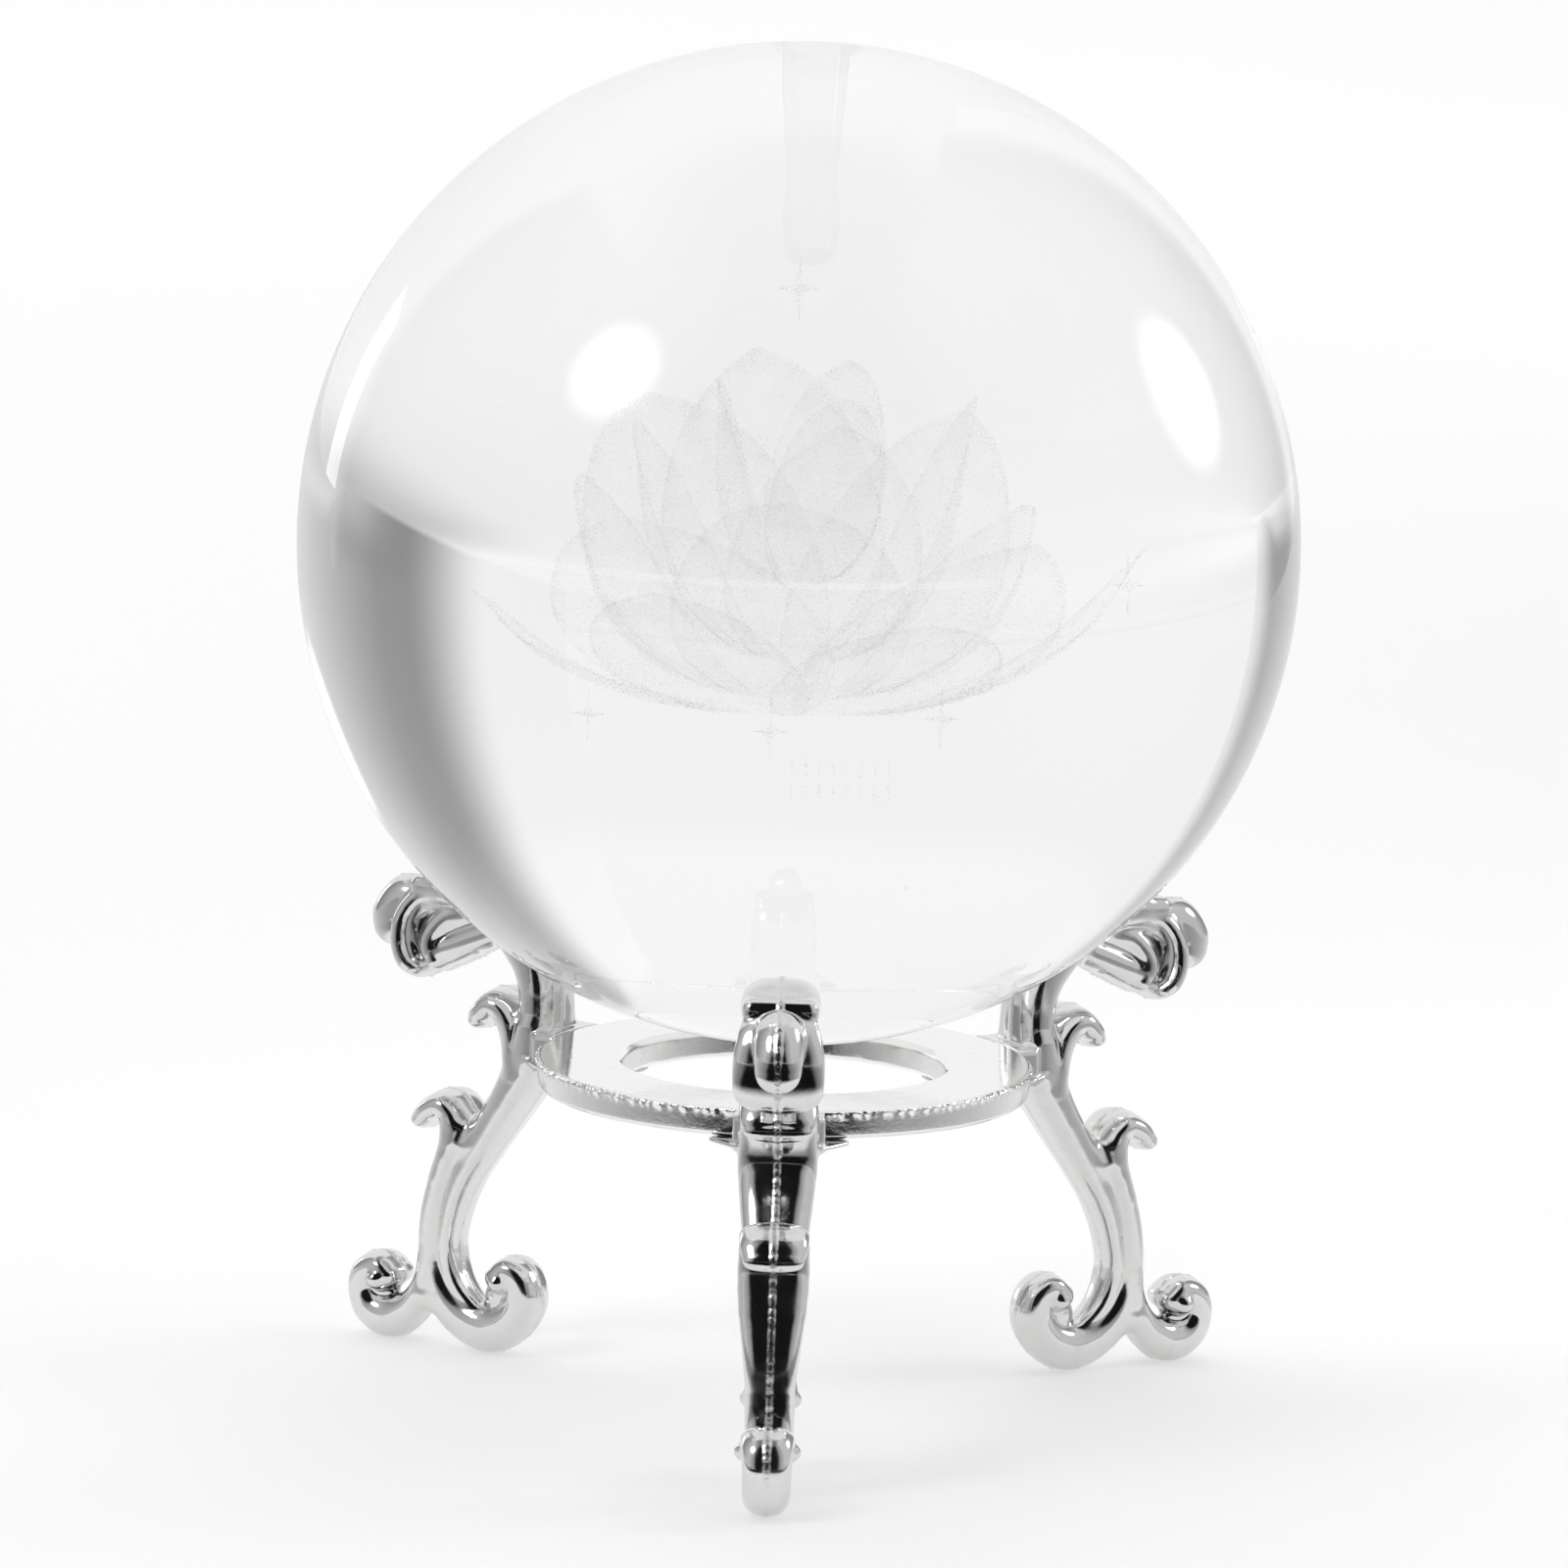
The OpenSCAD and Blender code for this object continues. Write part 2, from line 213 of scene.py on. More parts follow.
def strand(X, Z, Y, guide, e):
    """Distance to a swept superellipse: X, Z are the plane's grid (nx, nz), Y the offsets (ny)."""
    s = spline(guide)
    P = np.stack([X.ravel(), Z.ravel()], 1)
    best = np.full(len(P), 1e9); idx = np.zeros(len(P), int)
    for i in range(len(s)):
        d = (P[:, 0] - s[i, 0]) ** 2 + (P[:, 1] - s[i, 1]) ** 2
        m = d < best
        best[m] = d[m]; idx[m] = i
    dist = np.sqrt(best); A = s[idx, 2].copy(); B = s[idx, 3].copy()
    for o in (-1, 0):
        i0 = np.clip(idx + o, 0, len(s) - 2)
        a, b = s[i0], s[i0 + 1]
        ab = b[:, :2] - a[:, :2]
        t = np.clip(((P - a[:, :2]) * ab).sum(1) / (ab ** 2).sum(1), 0, 1)
        q = a + (b - a) * t[:, None]
        d = np.hypot(P[:, 0] - q[:, 0], P[:, 1] - q[:, 1])
        m = d <= dist
        dist[m] = d[m]; A[m] = q[m, 2]; B[m] = q[m, 3]
    sh = X.shape
    D, A, B = (v.reshape(sh)[:, None, :] for v in (dist, A, B))
    y = np.abs(Y)[None, :, None]
    u = D / A; v = y / B
    q = (u ** e + v ** e + 1e-9) ** (1 / e)
    g = q ** (1 - e) * np.sqrt((u ** (e - 1) / A) ** 2 + (v ** (e - 1) / B) ** 2)
    g = np.where(q > 0.4, np.maximum(g, 0.25), 1 / np.minimum(A, B))
    return (q - 1) / g

def ball3(X, Z, Y, c, r):
    """Ellipsoid: centre (radius, offset, height), radii the same way, turned by angle in the plane."""
    cx, cy, cz = c; rx, ry, rz, turn = r
    ca, sa = math.cos(turn), math.sin(turn)
    dx = (X - cx)[:, None, :]; dz = (Z - cz)[:, None, :]; dy = (np.abs(Y) - cy)[None, :, None]
    u = (dx * ca + dz * sa) / rx; w = (-dx * sa + dz * ca) / rz; v = dy / ry
    q = np.sqrt(u * u + v * v + w * w + 1e-9)
    g = np.sqrt((u / rx) ** 2 + (v / ry) ** 2 + (w / rz) ** 2 + 1e-9)
    return q * (q - 1) / g

def rbox(X, Z, Y, lo, hi, rad):
    """Rounded box, symmetric about the leg's plane: lo and hi are (radius, half width, height)."""
    dx = np.abs(X - (lo[0] + hi[0]) / 2)[:, None, :] - (hi[0] - lo[0]) / 2 + rad
    dz = np.abs(Z - (lo[2] + hi[2]) / 2)[:, None, :] - (hi[2] - lo[2]) / 2 + rad
    dy = np.abs(Y)[None, :, None] - hi[1] + rad
    dx, dy, dz = np.broadcast_arrays(dx, dy, dz)
    out = np.sqrt(np.clip(dx, 0, None) ** 2 + np.clip(dy, 0, None) ** 2 + np.clip(dz, 0, None) ** 2)
    return out + np.minimum(np.maximum(dx, np.maximum(dy, dz)), 0) - rad

def waves(x, z, seeds, base):
    """Smooth pseudo-random height between about -1 and 1 from a few sine waves."""
    r = np.random.default_rng(seeds)
    v = 0
    for k in range(7):
        f = base * (0.6 + 1.1 * r.random()); a = r.random() * TURN; p = r.random() * TURN
        v = v + np.sin(f * (x * math.cos(a) + z * math.sin(a)) + p)
    return v / 3.2

def leg_field(h, ring_top, ring_low, ring_r, lug_t):
    """The whole casting's distance field: its samples, the place of the first one, and their spacing."""
    xs = np.arange(12.8, 42.4, h); zs = np.arange(-0.5, 41.6, h); ys = np.arange(0, 6.3, h)
    X, Z = np.meshgrid(xs, zs, indexing="ij")
    S = lambda g, e: strand(X, Z, ys, g, e)
    up = S(UPPER, 2.8)
    low = S(LOWER, 2.6)
    out = S(OUTER, 2.3)
    merge = np.clip((Z - 13.0) / 4.5, 0, 1)
    body = smin(up, low, (0.28 + 1.5 * merge * merge)[:, None, :])
    body = smin(body, out, 0.40)
    web = smin(ball3(X, Z, ys, (26.0, 0, 4.7), (1.9, 1.25, 1.9, 0)),
               ball3(X, Z, ys, (38.2, 0, 4.2), (1.7, 1.15, 1.7, 0)), 0.2)
    body = smin(body, web, 0.25)
    eye = smin(ball3(X, Z, ys, (25.9, 0, 6.3), (1.2, 2.45, 1.15, 0.4)),
               ball3(X, Z, ys, (37.75, 0, 5.0), (1.25, 2.6, 1.2, 0)), 0.1)
    body = smin(body, eye, 0.25)
    body = smin(body, ball3(X, Z, ys, (33.0, 0, 3.9), (1.3, 1.8, 1.3, 0)), 0.8)
    # flourishes
    wl = S(WAVE_LOW, 2.4)
    wl = smax(wl, -ball3(X, Z, ys, (31.5, 4.2, 18.4), (1.6, 1.9, 2.3, -0.45)), 0.7)
    wt = S(WAVE_TOP, 2.4)
    wt = smax(wt, -ball3(X, Z, ys, (26.2, 4.55, 27.4), (1.6, 1.95, 2.3, -0.45)), 0.7)
    body = smin(body, wl, 0.28)
    body = smin(body, wt, 0.28)
    # head
    head = S(NECK, 2.7)
    # the top roll has a flat upright face and narrows underneath
    roll = rbox(X, Z, ys, (30.6, 0, 36.4), (34.72, 3.05, 39.7), 0.95)
    taper = np.clip(38.5 - Z, 0, None)[:, None, :] * 0.62
    roll = smax(roll, ((ys[None, :, None] - 3.05) + taper) * 0.85, 0.3)
    head = smin(head, roll, 0.25)
    core = smin(ball3(X, Z, ys, (31.0, 0, 35.9), (3.3, 2.1, 1.5, -0.35)),
                ball3(X, Z, ys, (33.8, 0, 35.2), (1.6, 2.0, 2.6, 0)), 0.5)
    head = smin(head, core, 0.4)
    for g, e, k in ((LOBE_A, 2.2, 0.55), (LOBE_A2, 2.1, 0.45), (LOBE_B, 2.2, 0.50),
                    (LOBE_C, 2.2, 0.25), (TONGUE, 2.1, 0.2)):
        head = smin(head, S(g, e), k)
    body = smin(body, head, 0.5)
    # parting line round the casting, a little ragged
    rag = 0.7 + 0.55 * waves(X, Z, 7, 10.0)
    fin = 0.11 * np.clip(rag, 0.15, 1.5)[:, None, :] * np.exp(-(ys / 0.19) ** 2)[None, :, None]
    body = body - fin
    # slight unevenness of the cast skin
    across = (0.6 + 0.4 * np.cos(1.7 * ys))[None, :, None]
    body = body + 0.012 * waves(X, Z, 21, 2.2)[:, None, :] * across
    # lug and shoulder
    z0 = ring_low - lug_t
    a = np.radians(np.linspace(124, 236, 13))
    hull = [(16.4 + 3.1 * math.cos(t), 3.1 * math.sin(t)) for t in a] + \
           [(19.0, -5.5), (19.8, -5.5), (23.0, -3.0), (23.0, 3.0), (19.8, 5.5), (19.0, 5.5)]
    xx, yy = np.meshgrid(xs, ys, indexing="ij")
    flat = np.full(xx.shape, -1e9)
    for i in range(len(hull)):
        (x1, y1), (x2, y2) = hull[i], hull[(i + 1) % len(hull)]
        L = math.hypot(x2 - x1, y2 - y1)
        flat = np.maximum(flat, ((y2 - y1) * (xx - x1) - (x2 - x1) * (yy - y1)) / L)
    plate = smax(flat[:, :, None], (np.abs(Z - (z0 + lug_t / 2)) - lug_t / 2)[:, None, :], 0.15)
    plate = smax(plate, (0.36 * flat[:, :, None] + (z0 + lug_t - 0.28 - Z)[:, None, :]) * 0.94, 0.1)
    sh = rbox(X, Z, ys, (19.0, 0, z0), (22.0, 3.65, ring_top), 0.5)
    body = smin(body, smin(plate, sh, 0.25), 0.4)
    # cuts: flat inner face over the ring, seat for the rim, screw hole, flats under the feet
    rr = np.sqrt(xx ** 2 + yy ** 2)
    inner = (X - 21.1)[:, None, :] + 0 * ys[None, :, None]
    body = smax(body, -smax(inner, (ring_top - Z)[:, None, :], 0.05), 0.16)
    body = smax(body, -smax((rr - (ring_r + 0.1))[:, :, None], (ring_low - Z)[:, None, :], 0.05), 0.08)
    body = smax(body, -(np.hypot(xx - SCREW_R, yy) - 1.2)[:, :, None], 0.12)
    body = smax(body, -Z[:, None, :], 0.10)
    # the glass rests on the crest and nowhere else
    reach = np.sqrt((X ** 2)[:, None, :] + (ys ** 2)[None, :, None] + ((Z - SEAT_Z) ** 2)[:, None, :])
    body = smax(body, SEAT_R - reach, 0.1)
    full = np.concatenate([body[:, :0:-1, :], body], axis=1)
    return full.astype(np.float32), (xs[0], -ys[-1], zs[0]), h

def sample(F, org, h, P):
    """The field's value at points P, by trilinear interpolation."""
    q = (P - np.array(org)) / h
    i = np.clip(np.floor(q).astype(int), 0, np.array(F.shape) - 2)
    f = q - i
    v = 0
    for a in (0, 1):
        for b in (0, 1):
            for c in (0, 1):
                w = (f[:, 0] if a else 1 - f[:, 0]) * (f[:, 1] if b else 1 - f[:, 1]) \
                    * (f[:, 2] if c else 1 - f[:, 2])
                v = v + w * F[i[:, 0] + a, i[:, 1] + b, i[:, 2] + c]
    return v

def untangle(F):
    """Turns over the few samples where four sheets would meet on one edge or two on one point."""
    def flip(where):
        where = tuple(np.array(where).T)
        k = np.argmin(np.abs(F[where]))
        p = tuple(int(a[k]) for a in where)
        F[p] = -F[p] if F[p] else 1e-4
    for _ in range(12):
        s = F < 0
        found = 0
        for ax in range(3):
            u, v = [k for k in range(3) if k != ax]
            def part(du, dv):
                sl = [slice(None)] * 3
                sl[u] = slice(du, F.shape[u] - 1 + du); sl[v] = slice(dv, F.shape[v] - 1 + dv)
                return s[tuple(sl)]
            a, b, c, d = part(0, 0), part(1, 0), part(1, 1), part(0, 1)
            for k in np.argwhere((a == c) & (b == d) & (a != b)):
                ring = []
                for du, dv in ((0, 0), (1, 0), (1, 1), (0, 1)):
                    q = k.copy(); q[u] += du; q[v] += dv
                    ring.append(tuple(q))
                m = [F[q] < 0 for q in ring]
                if m[0] == m[2] and m[1] == m[3] and m[0] != m[1]:
                    flip(ring); found += 1
        s = F < 0
        n = sum(s[a:F.shape[0] - 1 + a, b:F.shape[1] - 1 + b, c:F.shape[2] - 1 + c].astype(np.int8)
                for a in (0, 1) for b in (0, 1) for c in (0, 1))
        def corner(o):
            return s[tuple(slice(i, m - 1 + i) for i, m in zip(o, F.shape))]
        for o in ((0, 0, 0), (1, 0, 0), (0, 1, 0), (0, 0, 1)):
            far = tuple(1 - i for i in o)
            a, b = corner(o), corner(far)
            for k in np.argwhere(((n == 2) & a & b) | ((n == 6) & ~a & ~b)):
                flip([tuple(k + np.array(o)), tuple(k + np.array(far))]); found += 1
        if not found: return

def surface(F, org, h):
    """Surface nets: one vertex in every cell the surface crosses, one quad for every crossed edge."""
    untangle(F)
    s = F < 0
    nx, ny, nz = F.shape
    c = np.zeros((nx - 1, ny - 1, nz - 1), np.int8)
    for a in (0, 1):
        for b in (0, 1):
            for d in (0, 1):
                c += s[a:nx - 1 + a, b:ny - 1 + b, d:nz - 1 + d]
    act = (c > 0) & (c < 8)
    idx = np.full(act.shape, -1, np.int64)
    cells = np.argwhere(act)
    idx[act] = np.arange(len(cells))
    acc = np.zeros((len(cells), 3)); cnt = np.zeros(len(cells))
    corners = [(a, b, d) for a in (0, 1) for b in (0, 1) for d in (0, 1)]
    for p in corners:
        for ax in range(3):
            if p[ax]: continue
            q = list(p); q[ax] = 1
            v0 = F[cells[:, 0] + p[0], cells[:, 1] + p[1], cells[:, 2] + p[2]]
            v1 = F[cells[:, 0] + q[0], cells[:, 1] + q[1], cells[:, 2] + q[2]]
            m = (v0 < 0) != (v1 < 0)
            t = v0[m] / (v0[m] - v1[m])
            pt = np.tile(np.array(p, float), (m.sum(), 1)); pt[:, ax] += t
            acc[m] += pt; cnt[m] += 1
    V = (cells + acc / cnt[:, None]) * h + np.array(org)
    quads = []
    for ax in range(3):
        o = [k for k in range(3) if k != ax]
        sl0 = [slice(1, n - 1) for n in F.shape]; sl0[ax] = slice(0, F.shape[ax] - 1)
        sl1 = list(sl0); sl1[ax] = slice(1, F.shape[ax])
        a0, a1 = s[tuple(sl0)], s[tuple(sl1)]
        e = np.argwhere(a0 != a1)
        up = a0[a0 != a1]
        base = e.copy(); base[:, o[0]] += 1; base[:, o[1]] += 1
        def cell(du, dv):
            k = base.copy(); k[:, o[0]] += du; k[:, o[1]] += dv
            return idx[k[:, 0], k[:, 1], k[:, 2]]
        q = np.stack([cell(-1, -1), cell(0, -1), cell(0, 0), cell(-1, 0)], 1)
        flipq = up if ax != 1 else ~up
        q[~flipq] = q[~flipq][:, ::-1]
        quads.append(q)
    Q = np.vstack(quads)
    return V, Q

def relax(F, org, h, V, Q, rounds=3):
    """Evens out the mesh, then puts every vertex back on the surface."""
    n = len(V)
    def project(V):
        for _ in range(2):
            d = sample(F, org, h, V)
            e = 0.35 * h
            g = np.stack([(sample(F, org, h, V + axis * e) - sample(F, org, h, V - axis * e)) / (2 * e)
                          for axis in np.eye(3)], 1)
            V = V - np.clip(d, -0.5 * h, 0.5 * h)[:, None] * g / np.maximum((g * g).sum(1), 0.2)[:, None]
        return V
    for _ in range(rounds):
        acc = np.zeros_like(V); cnt = np.zeros(n)
        for a in range(4):
            b = (a + 1) % 4
            np.add.at(acc, Q[:, a], V[Q[:, b]]); np.add.at(cnt, Q[:, a], 1)
            np.add.at(acc, Q[:, b], V[Q[:, a]]); np.add.at(cnt, Q[:, b], 1)
        V = project(V * 0.4 + 0.6 * acc / cnt[:, None])
    return V

# ---------------------------------------------------------------- materials

def plated(name, tone=0.87, rough=(0.05, 0.13), seam=True, lines=False):
    """Bright nickel-chrome plating over a zinc casting; object coordinates are the piece's own."""
    m, t = material(name)
    mm = t.object_mm()
    broad = t.noise(mm, 0.35, 3.0, 0.55)
    fine = t.noise(mm, 2.6, 4.0, 0.6)
    pits = t.add("ShaderNodeTexVoronoi", {"feature": "F1"}, Vector=mm, Scale=1.5, Randomness=1.0)
    pit = t.math("MULTIPLY", t.remap(pits.outputs["Distance"], 0.0, 0.10, 1.0, 0.0), t.remap(fine, 0.52, 0.62))
    point = t.add("ShaderNodeNewGeometry").outputs["Pointiness"]
    hollow = t.remap(point, 0.40, 0.49, 1.0, 0.0)
    smear = t.remap(t.noise(mm, 0.9, 5.0, 0.65), 0.50, 0.72)
    r = t.remap(broad, 0.35, 0.68, rough[0], rough[1])
    r = t.math("MULTIPLY_ADD", smear, 0.045, r)
    r = t.math("MULTIPLY_ADD", hollow, 0.10, r)
    height = t.math("MULTIPLY", broad, 0.30)
    height = t.math("MULTIPLY_ADD", t.noise(mm, 1.1, 2.0, 0.5), 0.14, height)
    height = t.math("MULTIPLY_ADD", fine, 0.085, height)
    height = t.math("SUBTRACT", height, t.math("MULTIPLY", pit, 0.6))
    if seam:
        y = t.add("ShaderNodeSeparateXYZ", Vector=mm).outputs[1]
        near = t.remap(t.math("ABSOLUTE", y), 0.10, 0.42, 1.0, 0.0)
        grit = t.noise(mm, 4.5, 3.0, 0.7)
        height = t.math("ADD", height, t.math("MULTIPLY", near, t.math("MULTIPLY", grit, 1.5)))
        r = t.math("MULTIPLY_ADD", near, 0.05, r)
    if lines:
        normal = t.add("ShaderNodeNewGeometry").outputs["Normal"]
        z = t.add("ShaderNodeSeparateXYZ", Vector=normal).outputs[2]
        wall = t.remap(t.math("ABSOLUTE", z), 0.35, 0.75, 1.0, 0.0)
        r = t.math("MULTIPLY_ADD", wall, 0.10, r)
        height = t.math("MULTIPLY_ADD", wall, t.math("MULTIPLY", fine, 0.35), height)
        # faint turning lines left by the polishing wheel, running round the ring
        xyz = t.add("ShaderNodeSeparateXYZ", Vector=mm)
        rad = t.math("SQRT", t.math("ADD", t.math("MULTIPLY", xyz.outputs[0], xyz.outputs[0]),
                                    t.math("MULTIPLY", xyz.outputs[1], xyz.outputs[1])))
        ang = t.math("ARCTAN2", xyz.outputs[1], xyz.outputs[0])
        v = t.add("ShaderNodeCombineXYZ", X=t.math("MULTIPLY", rad, 5.0), Y=t.math("MULTIPLY", ang, 1.4),
                  Z=t.math("MULTIPLY", xyz.outputs[2], 5.0)).outputs[0]
        drag = t.noise(v, 1.0, 4.0, 0.6)
        height = t.math("MULTIPLY_ADD", drag, 0.10, height)
        r = t.math("MULTIPLY_ADD", t.remap(drag, 0.5, 0.7), 0.05, r)
    col = t.mixc(hollow, grey(tone, -0.006), grey(tone * 0.55, -0.01))
    col = t.mixc(t.math("MULTIPLY", smear, 0.35), col, grey(tone * 0.86))
    n = t.bump(height, 0.000035)
    p = t.add("ShaderNodeBsdfPrincipled", Base_Color=col, Metallic=1.0, Roughness=r, Normal=n)
    t.finish(p)
    return m

def screw_steel():
    m, t = material("screw_steel")
    mm = t.object_mm()
    grain = t.noise(mm, 3.5, 4.0, 0.6)
    point = t.add("ShaderNodeNewGeometry").outputs["Pointiness"]
    hollow = t.remap(point, 0.38, 0.49, 1.0, 0.0)
    r = t.remap(grain, 0.3, 0.7, 0.22, 0.36)
    col = t.mixc(hollow, grey(0.62, -0.01), grey(0.25, -0.01))
    n = t.bump(grain, 0.00001)
    p = t.add("ShaderNodeBsdfPrincipled", Base_Color=col, Metallic=1.0, Roughness=r, Normal=n)
    t.finish(p)
    return m

def ball_glass():
    """Optical glass, polished: clear, with the very slightest polishing haze."""
    m, t = material("ball_glass")
    mm = t.object_mm()
    haze = t.noise(mm, 0.06, 3.0, 0.6)
    r = t.remap(haze, 0.45, 0.75, 0.0, 0.006)
    col = t.mixc(haze, (0.918, 0.923, 0.921, 1), (0.928, 0.931, 0.930, 1))
    p = t.add("ShaderNodeBsdfPrincipled", Base_Color=col, Roughness=r, IOR=1.52)
    p.inputs["Transmission Weight"].default_value = 1.0
    t.finish(p)
    return m

def etched(name, veil=0.0):
    """Micro-cracks left in the glass by the engraving beam: white, scattering, mostly see-through."""
    m, t = material(name)
    mm = t.object_mm()
    cloud = t.noise(mm, 0.5, 4.0, 0.6)
    d = t.add("ShaderNodeBsdfDiffuse", Color=(0.80, 0.805, 0.81, 1))
    s = t.add("ShaderNodeBsdfTransparent", Color=WHITE)
    f = t.remap(cloud, 0.3, 0.7, 0.025, 0.09)
    if veil:
        # thicker towards the petals' rims
        edge = t.add("ShaderNodeAttribute", {"attribute_name": "rim"}).outputs["Fac"]
        f = t.math("MULTIPLY", t.remap(cloud, 0.3, 0.7, veil * 0.6, veil * 1.4),
                   t.math("MULTIPLY_ADD", edge, 1.7, 0.8))
    mix = t.add("ShaderNodeMixShader", i0=f, i1=s.outputs[0], i2=d.outputs[0])
    t.finish(mix)
    return m

M_LEG = plated("plated_casting", 0.76, (0.07, 0.16))
M_RING = plated("plated_ring", 0.93, (0.025, 0.07), seam=False, lines=True)
M_SCREW = screw_steel()
M_GLASS = ball_glass()
M_DOTS = etched("engraved_dots")
M_VEIL = etched("engraved_veil", 0.038)

# ---------------------------------------------------------------- legs

F, org, h = leg_field(GRID, RING_TOP, RING_LOW, RING_R, LUG_T)
LV, LQ = surface(F, org, h)
LV = relax(F, org, h, LV, LQ)
for node, turn in LEGS.items():
    make(node + "_casting", LV, LQ, M_LEG, "stand", node, turn=turn)

# ---------------------------------------------------------------- seat ring

def arc_loop(corners, radius, n=5):
    """Closed profile with every corner rounded; corners are (r, z), listed anticlockwise."""
    pts = []
    c = np.array(corners, float)
    for i in range(len(c)):
        a, b, d = c[i - 1], c[i], c[(i + 1) % len(c)]
        u, v = a - b, d - b
        lu, lv = np.linalg.norm(u), np.linalg.norm(v)
        u, v = u / lu, v / lv
        r = min(radius, 0.45 * lu, 0.45 * lv)
        for k in range(n + 1):
            s = k / n
            pts.append((1 - s) ** 2 * (b + u * r) + 2 * s * (1 - s) * b + s * s * (b + v * r))
    out = []
    for i in range(len(pts)):
        p, q = pts[i], pts[(i + 1) % len(pts)]
        m = max(1, int(np.linalg.norm(q - p) / 0.3))
        out += [p + (q - p) * k / m for k in range(m)]
    return np.array(out)

prof = arc_loop([(BORE_R, RING_LOW + 0.3), (BORE_R + 0.3, RING_LOW),
                 (RING_R - 0.5, RING_LOW), (RING_R - 0.22, RING_LOW + 0.3),
                 (RING_R, RING_TOP - 0.25), (RING_R - 0.25, RING_TOP),
                 (BORE_R + 0.45, RING_TOP), (BORE_R, RING_TOP - 0.45)], 0.12)
th = np.linspace(0, 2 * math.pi, RING_STEPS, endpoint=False)

def ripple(th, z, base, seed):
    """Waves that run round the ring and close on themselves, between about -1 and 1."""
    r = np.random.default_rng(seed); v = 0
    for k in range(9):
        f = int(base * (0.5 + 1.3 * r.random()))
        v = v + np.sin(f * th + z * (3 + 9 * r.random()) + TURN * r.random())
    return v / 3.0

R0, Z0 = prof[:, 0][:, None], prof[:, 1][:, None]
T = th[None, :]
# the flash line is a burr along the top edge; the outer wall and the hole are only very slightly uneven
edge = np.exp(-((R0 - RING_R) / 0.35) ** 2) * np.exp(-((Z0 - (RING_TOP - 0.22)) / 0.22) ** 2)
burr = np.clip(0.35 + 0.6 * ripple(T, Z0, 95, 3) + 0.5 * ripple(T, Z0, 230, 5), 0, 1.6)
side = np.exp(-((R0 - RING_R) / 0.08) ** 2) * np.exp(-((Z0 - RING_MID) / 0.9) ** 2)
RR = R0 + 0.13 * edge * burr + 0.004 * side * ripple(T, Z0, 60, 8) \
    + 0.006 * np.exp(-((R0 - BORE_R) / 0.2) ** 2) * ripple(T, Z0, 20, 9)
ZZ = Z0 + 0.05 * edge * ripple(T, R0, 150, 4) + 0 * T
V = np.stack([RR * np.cos(T), RR * np.sin(T), ZZ], -1)
P = V.shape[0]
i, j = np.meshgrid(np.arange(P), np.arange(RING_STEPS), indexing="ij")
q = lambda a, b: (a % P) * RING_STEPS + (b % RING_STEPS)
Q = np.stack([q(i, j), q(i, j + 1), q(i + 1, j + 1), q(i + 1, j)], -1).reshape(-1, 4)
make("seat_ring_plated", V.reshape(-1, 3), Q, M_RING, "stand", "seat_ring")

# ---------------------------------------------------------------- screws

def screw_mesh():
    """Pan head with a cross recess and a threaded shank above it; the head's face looks down."""
    n = 144
    t = np.linspace(0, 2 * math.pi, n, endpoint=False)
    rows = []
    for r in np.linspace(0.02, 1.45, 30):
        rows.append((np.full(n, r), np.full(n, -1.3 + 0.02 * (r / 1.45) ** 2), True))
    for a in np.linspace(0, math.pi / 2, 12)[1:]:
        rows.append((np.full(n, 1.45 + 0.65 * math.sin(a)), np.full(n, -1.28 + 0.68 * (1 - math.cos(a))), True))
    for r, z in ((2.1, -0.35), (2.1, -0.08), (2.06, -0.02), (1.98, 0.0), (1.5, 0.0), (1.12, 0.0)):
        rows.append((np.full(n, r), np.full(n, z), False))
    for z in np.arange(0.05, 1.95, 0.05):
        ph = (z / 0.4 - t / (2 * math.pi)) % 1.0
        rows.append((1.08 - 0.16 * np.abs(2 * ph - 1) ** 1.4, np.full(n, z), False))
    for r, z in ((0.9, 2.15), (0.72, 2.42), (0.02, 2.45)):
        rows.append((np.full(n, r), np.full(n, z), False))
    V = []
    for r, z, dish in rows:
        x, y = r * np.cos(t), r * np.sin(t)
        if dish:
            def arm(p, s):
                w = np.clip((0.27 - np.abs(s)) / 0.07, 0, 1)
                l = np.clip((1.25 - np.abs(p)) / 0.25, 0, 1)
                return w * w * (3 - 2 * w) * l
            z = z + 0.75 * np.maximum(arm(x, y), arm(y, x)) * np.clip(1.35 - np.hypot(x, y) * 0.5, 0, 1)
        V.append(np.stack([x, y, z], 1))
    m = len(rows)
    V = np.vstack(V + [[(0, 0, -0.55), (0, 0, 2.45)]])
    i, j = np.meshgrid(np.arange(m - 1), np.arange(n), indexing="ij")
    j1 = (j + 1) % n
    Q = np.stack([i * n + j, (i + 1) * n + j, (i + 1) * n + j1, i * n + j1], -1).reshape(-1, 4)
    k, k1 = np.arange(n), (np.arange(n) + 1) % n
    low = np.stack([k, k1, np.full(n, m * n)], 1)
    top = np.stack([(m - 1) * n + k1, (m - 1) * n + k, np.full(n, m * n + 1)], 1)
    return V, np.vstack([Q[:, [0, 1, 2]], Q[:, [0, 2, 3]], low, top])

SV, SQ = screw_mesh()
for leg_name, turn in LEGS.items():
    node = leg_name.replace("leg", "screw")
    V = SV + np.array([SCREW_R, 0, RING_LOW - LUG_T])
    make(node + "_steel", V, SQ[:, ::-1], M_SCREW, "stand", node, turn=turn)

# ---------------------------------------------------------------- glass ball

